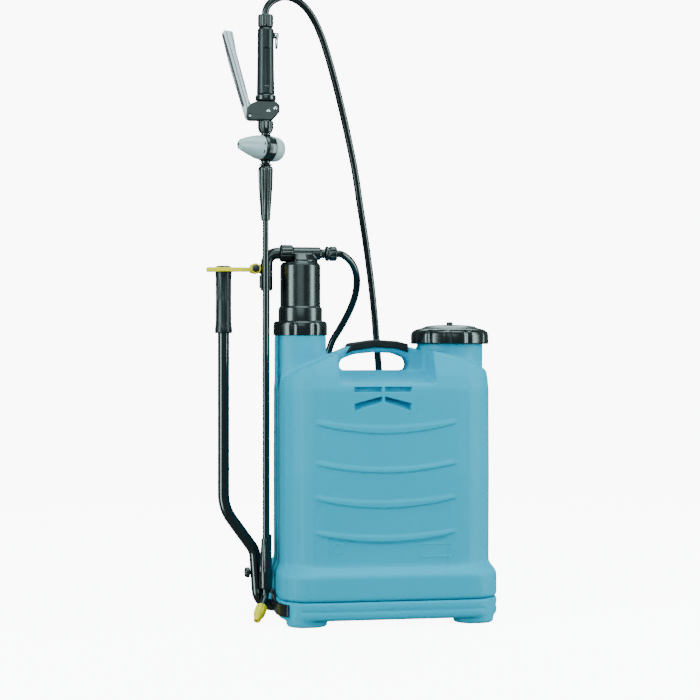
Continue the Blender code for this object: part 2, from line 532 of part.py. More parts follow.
def make_lance():
    at = (LANCE_X, LANCE_Y, 0)
    turned("lance_nut", [(4.6, 684.1), (10.7, 684.1), (10.7, 674), (8.6, 668.2), (4.6, 668.2)], BLACK, at)
    body = turned("regulator_body", [(0, 9), (16.5, 9), (18.4, 6), (18.6, 0), (18, -6), (0, -6)], BLACK,
                  REGULATOR_AT, REGULATOR_AXIS, 28)
    add(body, turned("regulator_stubs", rod(6.5, 626, 667.9), at=at, segments=20))
    turned("regulator_knob", [(0, 45), (5, 45), (7.5, 43), (11, 34), (14.8, 22), (16.6, 12), (16.8, 9.3),
                              (0, 9.3)], GREY, REGULATOR_AT, REGULATOR_AXIS, 28)
    turned("regulator_cap", [(0, -6.3), (17.6, -6.3), (17.2, -14), (14.5, -21), (9, -25), (0, -26)], GREY,
           REGULATOR_AT, REGULATOR_AXIS, 28)
    turned("lance_cone_upper", [(4.5, 622.2), (9.2, 622.2), (10.3, 619), (9.8, 600), (6.2, 548), (4.5, 548)],
           BLACK, at, segments=20)
    turned("lance_tube", ring(2.6, LANCE_R, 44, 620), STEEL_BLACK, at, segments=14)
    swept("lance_elbow", rounded_path([(LANCE_X, LANCE_Y, 43.6), ELBOW_CORNER, NOZZLE_AT], [12], 5),
          4.8, spec=BLACK, sides=14)
    turned("lance_cone_lower", [(4.5, 113), (5.8, 113), (8.2, 72), (8.4, 46), (7.4, 44), (4.5, 44)],
           BLACK, at, segments=20)
    turned("nozzle_core", rod(4.2, 0.4, 6), NATURAL, NOZZLE_AT, NOZZLE_AXIS, 14)
    turned("nozzle_cap", [(2.2, 26), (4.6, 26), (5.6, 20), (7.6, 15), (8.0, 3), (7.4, 0.5), (5.2, 0.5),
                          (4.6, 1.2), (4.6, 20), (2.2, 22)], YELLOW, NOZZLE_AT, NOZZLE_AXIS, 20)


def make_lance_rest():
    """Black shoe screwed to the front left corner of the base, with a fork for the lower cone."""
    outer, inner = BAND_CORNER + 3.4, BAND_CORNER + GAP
    centre = (-(BAND_HALF_WIDTH - BAND_CORNER), -(BAND_HALF_DEPTH - BAND_CORNER))

    def arc(radius):
        return [(centre[0] + radius * math.cos(math.radians(a)), centre[1] + radius * math.sin(math.radians(a)))
                for a in (180, 190, 200, 210, 220)]

    outline = [(centre[0] - outer, -15), *arc(outer), *arc(inner)[::-1], (centre[0] - inner, -15)]
    shoe = extruded("lance_rest", outline, 14, 31, "XY", BLACK)
    add(shoe, box("fork_plate", (-175.5, -30.5, 38), (-151.3, -14.5, 43.7)),
        box("fork_web", (-154.4, -30.5, 25), (-151.4, -15, 40)))
    cut(shoe, turned("fork_slot_end", rod(6.1, 20, 60), at=(LANCE_X, LANCE_Y, 0), segments=16),
        box("fork_slot", (LANCE_X - 6.1, -60, 20), (LANCE_X + 6.1, LANCE_Y, 60)),
        box("fork_slot_side", (LANCE_X - 8.4, -60, 20), (LANCE_X, LANCE_Y, 60)))


# ---------------------------------------------------------------- harness
def ribbon(name, path, centre_x, half_width, thickness, spec):
    """A flat strap: the path in the YZ plane, made thick and extruded across X."""
    path = [Vector(p) for p in path]
    sides = ([], [])
    for i, point in enumerate(path):
        along = (path[min(i + 1, len(path) - 1)] - path[max(i - 1, 0)]).normalized()
        normal = Vector((-along.y, along.x)) * thickness / 2
        sides[0].append(tuple(point + normal))
        sides[1].append(tuple(point - normal))
    return extruded(name, sides[0] + sides[1][::-1], centre_x - half_width, centre_x + half_width,
                    "YZ", spec)


def make_harness():
    box("strap_anchor_bar", (-112, 97.4, 300), (112, 101.2, 326), BLACK)
    box("strap_hook_bar", (-108, 105.4, 40), (108, 109.4, 60), BLACK)
    for side, x in (("left", -STRAP_X), ("right", STRAP_X)):
        ribbon(f"strap_pad_{side}", STRAP_PAD, x, STRAP_HALF_WIDTH, 7.5, PADDING)
        box(f"strap_buckle_{side}", (x - 21, 116.5, 161), (x + 21, 124.5, 178), BLACK)
        ribbon(f"strap_web_{side}", STRAP_WEB, x, 14, 2.4, WEBBING)


# ---------------------------------------------------------------- the whole sprayer
def put_origin_under_the_middle():
    """Move the layout so the frame's origin is at the middle of the base of everything but the hose."""
    bpy.context.view_layer.update()
    low, high = Vector((9, 9, 9)), Vector((-9, -9, -9))
    graph = bpy.context.evaluated_depsgraph_get()
    for obj in bpy.data.objects:
        if obj.type != "MESH" or obj.hide_render:
            continue
        shown = obj.evaluated_get(graph)
        for vertex in shown.data.vertices:
            point = shown.matrix_world @ vertex.co
            low = Vector(map(min, low, point))
            high = Vector(map(max, high, point))
    bpy.data.objects["frame_origin"].location = (-(low.x + high.x) / 2, -(low.y + high.y) / 2, -low.z)
    bpy.context.view_layer.update()


def main():
    for obj in list(bpy.data.objects):
        bpy.data.objects.remove(obj)
    origin = bpy.data.objects.new("frame_origin", None)
    bpy.context.scene.collection.objects.link(origin)
    make_tank()
    make_base()
    make_filler()
    make_pump()
    make_rod()
    make_lever_clip()
    make_lever()
    make_trigger_valve()
    make_lance()
    make_lance_rest()
    make_harness()
    hose("hose_pump_side", HOSE_FROM_PUMP)
    hose("hose_lance_side", HOSE_TO_LANCE)
    put_origin_under_the_middle()


main()
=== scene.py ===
"""The looks of the backpack sprayer: soft moulded shells, hoses, straps and materials round the fixed frame.

Shapes are drawn in millimetres about the middle of the tank, as the design draws them. SHIFT moves
that layout onto the frame's origin.
"""

import json
import math

import bmesh
import bpy
from mathutils import Matrix, Quaternion, Vector


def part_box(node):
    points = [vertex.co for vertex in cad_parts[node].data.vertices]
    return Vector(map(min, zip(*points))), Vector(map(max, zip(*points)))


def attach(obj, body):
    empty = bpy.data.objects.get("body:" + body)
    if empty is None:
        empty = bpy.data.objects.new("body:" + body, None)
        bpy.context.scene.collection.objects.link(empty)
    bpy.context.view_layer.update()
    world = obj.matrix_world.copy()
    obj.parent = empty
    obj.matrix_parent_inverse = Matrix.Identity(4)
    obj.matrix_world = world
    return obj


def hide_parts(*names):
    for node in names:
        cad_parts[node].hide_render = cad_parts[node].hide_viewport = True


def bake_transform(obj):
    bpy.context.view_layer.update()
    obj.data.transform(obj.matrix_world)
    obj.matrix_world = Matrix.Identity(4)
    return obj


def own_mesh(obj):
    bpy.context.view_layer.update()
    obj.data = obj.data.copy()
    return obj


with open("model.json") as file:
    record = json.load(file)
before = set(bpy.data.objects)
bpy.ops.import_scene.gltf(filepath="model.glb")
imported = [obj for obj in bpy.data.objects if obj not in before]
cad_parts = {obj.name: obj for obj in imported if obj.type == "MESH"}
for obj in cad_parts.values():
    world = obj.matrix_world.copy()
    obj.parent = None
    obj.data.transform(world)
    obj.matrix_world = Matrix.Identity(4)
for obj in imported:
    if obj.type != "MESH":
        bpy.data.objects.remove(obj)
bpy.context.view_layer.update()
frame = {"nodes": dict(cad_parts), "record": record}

MM = 0.001
FILLER_X, PUMP_X, HEAD_Z = 100.0, -112.8, 505.0
CAP_LOW, CAP_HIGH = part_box("filler_cap")
SHIFT = Vector(((CAP_LOW.x + CAP_HIGH.x) / 2 - FILLER_X * MM, (CAP_LOW.y + CAP_HIGH.y) / 2, 0))

LEVER_X, ROD_X, LANCE_X, LANCE_Y = -219.6, -159.8, -164.5, -26.0
AXLE_Z, CRANK_Z, STEM_Z = 18.0, 64.0, 701.0
REGULATOR_AT, REGULATOR_AXIS = (-163.0, -26.0, 647.0), (-0.905, -0.42, 0.06)
ELBOW_CORNER = Vector((LANCE_X, LANCE_Y, 34.0))
NOZZLE_AXIS = Vector((-0.36, -0.66, -0.66)).normalized()
NOZZLE_AT = ELBOW_CORNER + 18 * NOZZLE_AXIS

HOSE_R = 5.0
HOSE_FROM_PUMP = [(-61.0, 0, 505), (-55.5, 0.2, 504.8), (-47, 4, 500.5), (-38, 10, 492.5),
                  (-31.5, 17, 481), (-28, 27, 467), (-27.5, 41, 451), (-30, 57, 435),
                  (-35, 75, 418), (-42, 92, 401), (-50, 106, 384), (-55, 113.5, 364),
                  (-58, 116.5, 335), (-59.5, 117, 300), (-60, 117, 260), (-60, 117, 220),
                  (-58.5, 117, 185), (-53, 117, 158), (-42, 117, 137.5), (-27, 117, 127.2),
                  (-20.4, 117, 127)]
HOSE_TO_LANCE = [(-19.6, 117, 127), (-13, 117, 127.2), (3, 117, 136), (17, 117, 157),
                 (23, 117, 185), (24, 117, 225), (24, 117, 265), (23, 116, 305), (19.5, 112, 347),
                 (15, 107, 391), (11, 101, 426), (6, 94, 461), (0, 86, 496), (-7.5, 76, 535),
                 (-17, 64, 580), (-26, 52, 624), (-37.5, 40, 669), (-50, 27, 712), (-64, 14, 756),
                 (-78, 3, 795), (-91, -5, 823), (-105, -12, 842), (-121, -18, 853),
                 (-137, -23, 856), (-151, -25.5, 851.5), (-160.5, -26, 843.5),
                 (-164.4, -26, 835.5), (-164.5, -26, 830.1)]

STRAP_X = 90.0
STRAP_PAD = [(105.3, 315), (112.6, 306), (119, 288), (123, 262), (124.5, 235), (124, 208), (121.5, 180)]
STRAP_WEB = [(120, 160), (117, 135), (113.5, 108), (110.5, 84), (109, 64)]

ALONG_X, ALONG_Y, ALONG_Z = (1, 0, 0), (0, 1, 0), (0, 0, 1)
GROOVE_SHARPNESS = 6


# ---------------------------------------------------------------- camera
CAMERA_TURN, CAMERA_DISTANCE, CAMERA_ASIDE, CAMERA_Z, CAMERA_LENS = 10, 2400, 42, 371, 88.16


def make_camera():
    """Level camera at tank mid height, ten degrees round to the left."""
    turn = math.radians(CAMERA_TURN)
    look = Vector((math.sin(turn), math.cos(turn), 0))
    right = Vector((math.cos(turn), -math.sin(turn), 0))
    camera = bpy.data.objects.new("camera", bpy.data.cameras.new("camera"))
    offset = -CAMERA_DISTANCE * look - CAMERA_ASIDE * right + Vector((0, 0, CAMERA_Z))
    camera.location = SHIFT + MM * offset
    camera.rotation_euler = look.to_track_quat("-Z", "Y").to_euler()
    camera.data.lens = CAMERA_LENS
    camera.data.sensor_width = 36
    bpy.context.scene.collection.objects.link(camera)
    bpy.context.scene.camera = camera


# ---------------------------------------------------------------- materials
GRAIN_FINENESS, SKIN_FINENESS = 40, 8  # how much finer the skin is than the gloss patches


def node_of(tree, kind, **values):
    """A new shader node with the given values on its inputs."""
    node = tree.nodes.new(kind)
    for key, value in values.items():
        node.inputs[key.replace("_", " ")].default_value = value
    return node


def plastic(name, colour, roughness, scale=60.0, bump=0.1, varied=0.12, metallic=0.0, grain=0.0,
            sheen=0.0, specular=0.35):
    """Moulded or painted finish: slow colour drift, patchy gloss, a fine skin texture."""
    material = bpy.data.materials.new(name)
    material.use_nodes = True
    tree = material.node_tree
    shader = tree.nodes["Principled BSDF"]
    shader.inputs["Metallic"].default_value = metallic
    shader.inputs["Specular IOR Level"].default_value = specular
    shader.inputs["Sheen Weight"].default_value = sheen
    place = tree.nodes.new("ShaderNodeTexCoord")
    slow = node_of(tree, "ShaderNodeTexNoise", Scale=scale * 0.15, Detail=3.0)
    tree.links.new(place.outputs["Object"], slow.inputs["Vector"])
    tint = tree.nodes.new("ShaderNodeValToRGB")
    dark = [c * (1 - varied) for c in colour]
    light = [min(1.0, c * (1 + varied)) for c in colour]
    tint.color_ramp.elements[0].position, tint.color_ramp.elements[1].position = 0.3, 0.7
    tint.color_ramp.elements[0].color = (*dark, 1)
    tint.color_ramp.elements[1].color = (*light, 1)
    tree.links.new(slow.outputs["Fac"], tint.inputs["Fac"])
    tree.links.new(tint.outputs["Color"], shader.inputs["Base Color"])
    gloss = node_of(tree, "ShaderNodeTexNoise", Scale=scale, Detail=4.0)
    tree.links.new(place.outputs["Object"], gloss.inputs["Vector"])
    spread = node_of(tree, "ShaderNodeMapRange")
    spread.inputs["To Min"].default_value = roughness * 0.8
    spread.inputs["To Max"].default_value = min(1.0, roughness * 1.25)
    tree.links.new(gloss.outputs["Fac"], spread.inputs["Value"])
    tree.links.new(spread.outputs["Result"], shader.inputs["Roughness"])
    fineness = GRAIN_FINENESS if grain else SKIN_FINENESS
    skin = node_of(tree, "ShaderNodeTexNoise", Scale=scale * fineness, Detail=2.0)
    tree.links.new(place.outputs["Object"], skin.inputs["Vector"])
    raised = node_of(tree, "ShaderNodeBump", Strength=max(bump, grain), Distance=0.0003)
    tree.links.new(skin.outputs["Fac"], raised.inputs["Height"])
    tree.links.new(raised.outputs["Normal"], shader.inputs["Normal"])
    return material


def woven(name, colour, pitch, rough=0.9):
    """Cloth: two crossed sets of threads, pitch metres apart, with fuzz."""
    material = plastic(name, colour, rough, sheen=0.25)
    tree = material.node_tree
    shader = tree.nodes["Principled BSDF"]
    place = tree.nodes.new("ShaderNodeTexCoord")
    heights = []
    for direction in ("X", "Z"):
        wave = node_of(tree, "ShaderNodeTexWave", Scale=1 / (pitch * 3.2), Distortion=0.4)
        wave.bands_direction = direction
        tree.links.new(place.outputs["Object"], wave.inputs["Vector"])
        heights.append(wave)
    both = tree.nodes.new("ShaderNodeMath")
    both.operation = "MULTIPLY"
    for i, wave in enumerate(heights):
        tree.links.new(wave.outputs["Fac"], both.inputs[i])
    raised = node_of(tree, "ShaderNodeBump", Strength=0.7, Distance=0.0005)
    tree.links.new(both.outputs["Value"], raised.inputs["Height"])
    tree.links.new(raised.outputs["Normal"], shader.inputs["Normal"])
    return material


def make_materials():
    return {
        "tank_blue": plastic("tank_blue", (0.0, 0.39, 0.60), 0.45, 30, 0.05, 0.03, specular=0.15),
        "black_plastic": plastic("black_plastic", (0.001, 0.003, 0.004), 0.24, 90, 0.05, 0.3,
                                 specular=0.8),
        "black_rubber": plastic("black_rubber", (0.001, 0.004, 0.007), 0.34, 120, 0.1, 0.25, grain=0.2,
                                specular=0.5),
        "hose_rubber": plastic("hose_rubber", (0.001, 0.003, 0.004), 0.25, 90, 0.06, 0.3, specular=0.7),
        "black_painted_steel": plastic("black_painted_steel", (0.003, 0.006, 0.008), 0.16, 60, 0.04, 0.3,
                                       specular=0.8),
        "bright_steel": plastic("bright_steel", (0.62, 0.64, 0.66), 0.22, 150, 0.06, 0.1, metallic=1.0),
        "grey_plastic": plastic("grey_plastic", (0.5, 0.56, 0.6), 0.3, 80, 0.05, 0.05),
        "silver_plastic": plastic("silver_plastic", (0.56, 0.52, 0.6), 0.16, 90, 0.06, 0.2,
                                  metallic=0.9),
        "yellow_plastic": plastic("yellow_plastic", (1.0, 0.74, 0.0), 0.4, 80, 0.05, 0.02),
        "natural_plastic": plastic("natural_plastic", (0.78, 0.79, 0.74), 0.4, 70, 0.06, 0.05),
        "strap_webbing": woven("strap_webbing", (0.012, 0.014, 0.017), 0.0014),
        "strap_padding": woven("strap_padding", (0.016, 0.018, 0.023), 0.0009),
    }


# ---------------------------------------------------------------- pieces and their placing
def layout_to_frame():
    """Millimetres about the tank's middle to metres in the frame."""
    matrix = Matrix.Diagonal((MM, MM, MM, 1))
    matrix.translation = SHIFT
    return matrix


def frame_mesh(name, bm):
    """A mesh in the frame's metres from a bmesh drawn in the layout's millimetres."""
    bmesh.ops.recalc_face_normals(bm, faces=bm.faces)
    mesh = bpy.data.meshes.new(name)
    bm.to_mesh(mesh)
    bm.free()
    mesh.transform(layout_to_frame())
    return mesh


def settle(name, bm, slot, body, *nodes, sharp=40.0):
    """A finished piece from a bmesh drawn in millimetres, riding on body in place of the CAD nodes."""
    return settle_mesh(name, frame_mesh(name, bm), slot, body, *nodes, sharp=sharp)


def settle_mesh(name, mesh, slot, body, *nodes, sharp=40.0):
    """The same for a mesh that is already in the frame's metres."""
    mesh.shade_smooth()
    mesh.set_sharp_from_angle(angle=math.radians(sharp))
    mesh.materials.clear()
    mesh.materials.append(MATERIALS[slot])
    piece = bpy.data.objects.new(name, mesh)
    bpy.context.scene.collection.objects.link(piece)
    if body:
        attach(piece, body)
    if nodes:
        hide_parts(*nodes)
    return piece


def evaluated_mesh(obj):
    """The mesh of obj with its modifiers applied; obj itself goes."""
    bpy.context.view_layer.update()
    mesh = bpy.data.meshes.new_from_object(obj.evaluated_get(bpy.context.evaluated_depsgraph_get()))
    bpy.data.objects.remove(obj)
    return mesh


def moulded(mesh, voxel, passes):
    """Remesh to one even skin, voxel millimetres fine, and smooth it: every edge rounds like a moulding."""
    raw = bpy.data.objects.new("raw", mesh)
    bpy.context.scene.collection.objects.link(raw)
    remesh = raw.modifiers.new("remesh", "REMESH")
    remesh.mode = "VOXEL"
    remesh.voxel_size = voxel * MM
    remesh.adaptivity = 0.0
    smooth = raw.modifiers.new("smooth", "SMOOTH")
    smooth.factor, smooth.iterations = 0.5, passes
    return evaluated_mesh(raw)


def soften(name, node, slot, body, voxel, passes, shape=None):
    """A moulded copy of a CAD node, with an optional last change of shape."""
    mesh = moulded(frame["nodes"][node].data.copy(), voxel, passes)
    if shape:
        reshape(mesh, shape)
    return settle_mesh(name, mesh, slot, body, node, sharp=80)


def reshape(mesh, shape):
    """Move each vertex by shape, which works in the layout's millimetres."""
    for vertex in mesh.vertices:
        vertex.co = shape((vertex.co - SHIFT) / MM) * MM + SHIFT


def rounded_profile(profile, radius):
    """Round each corner of a (radius, height) outline with two points."""
    points = [Vector(p) for p in profile]
    closed = profile[0][0] > 0 or profile[-1][0] > 0
    out = []
    for i, corner in enumerate(points):
        if not closed and i in (0, len(points) - 1):
            out.append(tuple(corner))
            continue
        before, after = points[i - 1], points[(i + 1) % len(points)]
        a, b = before - corner, after - corner
        trim = min(radius, a.length * 0.4, b.length * 0.4)
        start, end = corner + a.normalized() * trim, corner + b.normalized() * trim
        out += [tuple(start), tuple((start + end + 2 * corner) / 4), tuple(end)]
    return out


def lathe(name, profile, slot, body, *nodes, at=(0, 0, 0), axis=ALONG_Z, segments=64, edge=0.5,
          flutes=None):
    """Turn a (radius, height) outline round an axis.

    flutes is (count, depth, low, high, least radius) and cuts that many grooves along the side.
    """
    outline = rounded_profile(profile, edge) if edge else profile
    bm = bmesh.new()
    points = [bm.verts.new((radius, 0, height)) for radius, height in outline]
    for a, b in zip(points, points[1:]):
        bm.edges.new((a, b))
    if outline[0][0] > 1e-6 or outline[-1][0] > 1e-6:
        bm.edges.new((points[-1], points[0]))
    bmesh.ops.spin(bm, geom=bm.verts[:] + bm.edges[:], cent=(0, 0, 0), axis=(0, 0, 1),
                   angle=math.tau, steps=segments, use_merge=True)
    bmesh.ops.remove_doubles(bm, verts=bm.verts, dist=0.0005)
    if flutes:
        count, depth, low, high, least = flutes
        for vertex in bm.verts:
            radius = math.hypot(vertex.co.x, vertex.co.y)
            if low <= vertex.co.z <= high and radius >= least:
                wave = 0.5 - 0.5 * math.cos(count * math.atan2(vertex.co.y, vertex.co.x))
                keep = 1 - depth * wave ** GROOVE_SHARPNESS / radius
                vertex.co.x *= keep
                vertex.co.y *= keep
    turn = Vector(ALONG_Z).rotation_difference(Vector(axis).normalized())
    for vertex in bm.verts:
        vertex.co = turn @ vertex.co + Vector(at)
    return settle(name, bm, slot, body, *nodes, sharp=30)


def sweep_bm(path, radius, bore=0.0, sides=24, bm=None):
    """A round bar along a path, or a tube if it has a bore."""
    path = [Vector(p) for p in path]
    tangents = [(path[min(i + 1, len(path) - 1)] - path[max(i - 1, 0)]).normalized()
                for i in range(len(path))]
    across = tangents[0].orthogonal().normalized()
    bm = bm or bmesh.new()
    outer, inner = [], []
    for point, tangent in zip(path, tangents):
        across = (across - tangent * across.dot(tangent)).normalized()
        other = tangent.cross(across)
        for rings, r in ((outer, radius), (inner, bore)):
            if r:
                rings.append([bm.verts.new(point + r * (across * math.cos(math.tau * k / sides)
                                                        + other * math.sin(math.tau * k / sides)))
                              for k in range(sides)])
    for rings in (outer, inner):
        for a, b in zip(rings, rings[1:]):
            for k in range(sides):
                m = (k + 1) % sides
                bm.faces.new((a[k], a[m], b[m], b[k]))
    for end in (0, -1):
        if bore:
            for k in range(sides):
                m = (k + 1) % sides
                bm.faces.new((outer[end][k], outer[end][m], inner[end][m], inner[end][k]))
        else:
            bm.faces.new(outer[end])
    return bm


def rounded_path(corners, radii, steps=12):
    """The path through corners with an arc of the given radius at each inner one."""
    corners = [Vector(c) for c in corners]
    path = [corners[0]]
    for before, corner, after, radius in zip(corners, corners[1:], corners[2:], radii):
        a, b = (before - corner).normalized(), (after - corner).normalized()
        half = a.angle(b) / 2
        centre = corner + (a + b).normalized() * radius / math.sin(half)
        start = corner + a * radius / math.tan(half) - centre
        sweep = math.pi - 2 * half
        normal = start.cross(corner + b * radius / math.tan(half) - centre).normalized()
        path += [centre + Quaternion(normal, sweep * i / steps) @ start for i in range(steps + 1)]
    return path + [corners[-1]]


def smooth_route(points, spacing):
    """Points about spacing apart on a Catmull-Rom curve through the given points."""
    points = [Vector(p) for p in points]
    guides = [2 * points[0] - points[1], *points, 2 * points[-1] - points[-2]]
    fine = [points[0]]
    for a, b, c, d in zip(guides, guides[1:], guides[2:], guides[3:]):
        for step in range(1, 17):
            t = step / 16
            fine.append(0.5 * (2 * b + (c - a) * t + (2 * a - 5 * b + 4 * c - d) * t * t
                               + (3 * b - a - 3 * c + d) * t ** 3))
    walked = [0.0]
    for before, after in zip(fine, fine[1:]):
        walked.append(walked[-1] + (after - before).length)
    count = round(walked[-1] / spacing)
    route, here = [], 0
    for i in range(count + 1):
        station = walked[-1] * i / count
        while here < len(walked) - 2 and walked[here + 1] < station:
            here += 1
        share = (station - walked[here]) / (walked[here + 1] - walked[here])
        route.append(fine[here].lerp(fine[here + 1], share))
    return route


def block(bm, low, high):
    """Add a box between two corners."""
    made = bmesh.ops.create_cube(bm, size=1.0)["verts"]
    size = [b - a for a, b in zip(low, high)]
    bmesh.ops.scale(bm, vec=size, verts=made)
    bmesh.ops.translate(bm, vec=[(a + b) / 2 for a, b in zip(low, high)], verts=made)
    return bm


def make_hoses():
    """One hose in two stretches that meet behind the tank."""
    for name, points, node, bodies, low, high in (
            ("hose_from_pump", HOSE_FROM_PUMP, "hose_pump_side", ("tank", "pump"), 260, 470),
            ("hose_to_lance", HOSE_TO_LANCE, "hose_lance_side", ("tank", "lance"), 330, 815)):
        route = smooth_route(points, 4.0)
        piece = settle(name, sweep_bm(route, HOSE_R, sides=20), "hose_rubber", None, node)
        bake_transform(piece)


# ---------------------------------------------------------------- tank and base
RIBS = [(277, 268, 271.5, 258.5), (222.5, 212.3, 217, 205.8), (175.5, 167.5, 170.5, 158.6),
        (128.8, 120.7, 123.8, 112.9)]  # each rib's top edge and lower edge: at its ends, at its middle
RIB_MIDDLE, RIB_HALF, RIB_RISE = -10.0, 96.0, 1.5
LOUVRES = ((-52.5, -15.5, 1), (-11.1, 25.3, -1))  # low x, high x, and which way the lower edge climbs
SLOT_LOW, SLOT_HIGH, SLOT_DEPTH = 314.8, 321.0, 7.0
SCORE_LOW, SCORE_HIGH, SCORE_DEPTH = 326.4, 328.6, 3.0
LABEL_X, LABEL_HALF, LABEL_LOW, LABEL_TOP, LABEL_DEPTH = -7, 82, 78, 111, 1.2
PLATE_X, PLATE_Z, PLATE_HALF_WIDTH, PLATE_HALF_HEIGHT, PLATE_RISE = 60, 100.5, 22, 8.5, 0.5
RING_X, RING_Z, RING_RADIUS, RING_RISE = -75, 105, 6.5, 0.45
BASE_INNER_X, BASE_INNER_Y = 144, 100
LINE_Z, LINE_HALF_WIDTH, LINE_DEPTH = 21.5, 1.6, 1.1


def step_up(value, edge, softness):
    """0 below the edge and 1 above it, with a soft change."""
    share = min(1.0, max(0.0, (value - edge) / softness + 0.5))
    return share * share * (3 - 2 * share)


def front_relief(x, z):
    """How far the front stands out, in mm: sagging ribs, louvres, a sunk label field and two outlines."""
    side = (x - RIB_MIDDLE) / RIB_HALF
    relief = 0.0
    if abs(side) < 1.08:
        fade = 1 - step_up(abs(side), 0.98, 0.12)
        sag = 1 - side * side
        for top_end, top_middle, low_end, low_middle in RIBS:
            top = top_end + (top_middle - top_end) * sag
            low = low_end + (low_middle - low_end) * sag
            relief += RIB_RISE * fade * step_up(z, low, 1.6) * (1 - step_up(z, top, 5.5))
    for low_x, high_x, peak in LOUVRES:
        inside = step_up(x, low_x, 1.0) * (1 - step_up(x, high_x, 1.0))
        if inside > 0:
            along = (x - low_x) / (high_x - low_x)
            rise = along if peak > 0 else 1 - along
            relief -= SLOT_DEPTH * inside * step_up(z, SLOT_LOW, 0.9) * (1 - step_up(z, SLOT_HIGH, 0.9))
            relief -= SCORE_DEPTH * inside * step_up(z, SCORE_LOW, 0.7) * (1 - step_up(z, SCORE_HIGH, 0.7))
            low, top = 288.6 + 12 * rise, 298.6 + 9.4 * rise
            depth = 3 + 9 * min(1.0, max(0.0, (z - low) / (top - low)))
            relief -= depth * inside * step_up(z, low, 0.9) * (1 - step_up(z, top, 0.9))
    aside = x - LABEL_X
    if LABEL_LOW < z < 120 and abs(aside) < LABEL_HALF + 4:
        top = LABEL_TOP + aside ** 2 / 900
        relief -= LABEL_DEPTH * (1 - step_up(abs(aside), LABEL_HALF, 1.6)) * (1 - step_up(z, top, 2))
    if abs(x - PLATE_X) < 26 and 90 < z < 112:
        edge = max(abs(x - PLATE_X) - PLATE_HALF_WIDTH, abs(z - PLATE_Z) - PLATE_HALF_HEIGHT)
        relief += PLATE_RISE * (1 - step_up(abs(edge), 0.8, 1.2))
    away = abs(math.hypot(x - RING_X, z - RING_Z) - RING_RADIUS)
    if away < 2:
        relief += RING_RISE * (1 - step_up(away, 0.8, 1.0))
    return relief


def tank_detail(p):
    """Press the relief into the front face."""
    if p.y < -80 and 76 < p.z < 332:
        facing = step_up(-p.y, 88, 6)
        p.y -= front_relief(p.x, p.z) * facing
    return p


def base_detail(p):
    """A shadow line round the base, half way up its side."""
    if abs(p.x) > BASE_INNER_X or abs(p.y) > BASE_INNER_Y:
        groove = math.exp(-((p.z - LINE_Z) / LINE_HALF_WIDTH) ** 2)
        p -= Vector((p.x, p.y, 0)).normalized() * LINE_DEPTH * groove
    return p


def refine(mesh, low, high, times):
    """Split the faces whose middle lies in a box, given in the layout's millimetres, finer."""
    bm = bmesh.new()
    bm.from_mesh(mesh)
    for _ in range(times):
        inside = [f for f in bm.faces
                  if all(a <= v <= b for a, v, b in zip(low, (f.calc_center_median() - SHIFT) / MM, high))]
        bmesh.ops.subdivide_edges(bm, edges=list({e for f in inside for e in f.edges}), cuts=1,
                                  use_grid_fill=True)
    bm.to_mesh(mesh)
    bm.free()


def make_tank():
    mesh = moulded(frame["nodes"]["tank_shell"].data.copy(), 2.0, 14)
    refine(mesh, (-115, -110, 76), (100, -88, 334), 1)
    refine(mesh, (-58, -110, 284), (31, -88, 334), 1)
    reshape(mesh, tank_detail)
    settle_mesh("tank_body", mesh, "tank_blue", "tank", "tank_shell", sharp=80)
    soften("tank_base", "base_skirt", "tank_blue", "tank", 1.8, 7, base_detail)
    soften("carry_handle_grip", "carry_grip", "black_rubber", "tank", 0.9, 8)
    soften("lance_rest_shoe", "lance_rest", "black_plastic", "tank", 0.7, 14)


def make_filler():
    at = (FILLER_X, 0, 0)
    lathe("filler_cap_ribbed", [(5, 406.5), (22, 406), (34, 404.6), (38.5, 402.4), (49, 399.6), (53.5, 396.5),
                                (55, 392), (55, 381), (54, 379.3), (47.4, 379.3), (47.4, 398.9), (5, 398.9)],
          "black_plastic", "cap", "filler_cap", at=at, segments=180, edge=1.2,
          flutes=(12, 1.8, 379, 398, 50))
    lathe("cap_vent", [(0, 410.5), (3.6, 410.5), (4.6, 409), (4.6, 398.6), (9, 398.6), (9, 396.8),
                       (0, 396.8)], "black_rubber", "cap", "cap_vent_valve", at=at, segments=40)
    lathe("cap_seal", [(38, 398.6), (46, 398.6), (46, 396.6), (38, 396.6)], "black_rubber", "cap",
          "cap_gasket", at=at, segments=72)
    make_strainer(at)


def make_strainer(at):
    """A ribbed basket with open slots between its ribs."""
    bm = bmesh.new()
    for k in range(36):
        turn = Quaternion((0, 0, 1), math.tau * k / 36)
        side = [turn @ Vector(v) + Vector(at) for v in ((40.6, 0, 339), (41.6, 0, 395))]
        floor = [turn @ Vector(v) + Vector(at) for v in ((4, 0, 339), (40.2, 0, 339))]
        sweep_bm(side, 0.8, sides=6, bm=bm)
        sweep_bm(floor, 0.7, sides=6, bm=bm)
    for radius, height, thick in ((40.6, 339, 1.0), (40.9, 357, 0.8), (41.2, 375, 0.8), (41.5, 394, 1.0),
                                  (22, 339, 0.8), (5, 339, 1.2)):
        ring = [Vector((radius * math.cos(math.tau * k / 60), radius * math.sin(math.tau * k / 60), height))
                + Vector(at) for k in range(61)]
        sweep_bm(ring, thick, sides=8, bm=bm)
    settle_mesh("strainer_basket_slotted", moulded(frame_mesh("strainer_raw", bm), 0.55, 1),
                "natural_plastic", "tank", "strainer_basket", sharp=80)
    lathe("strainer_rim", [(46, 396.3), (46, 394.3), (41, 394.3), (41, 396.3)], "natural_plastic", "tank",
          at=at, segments=72, edge=0.4)


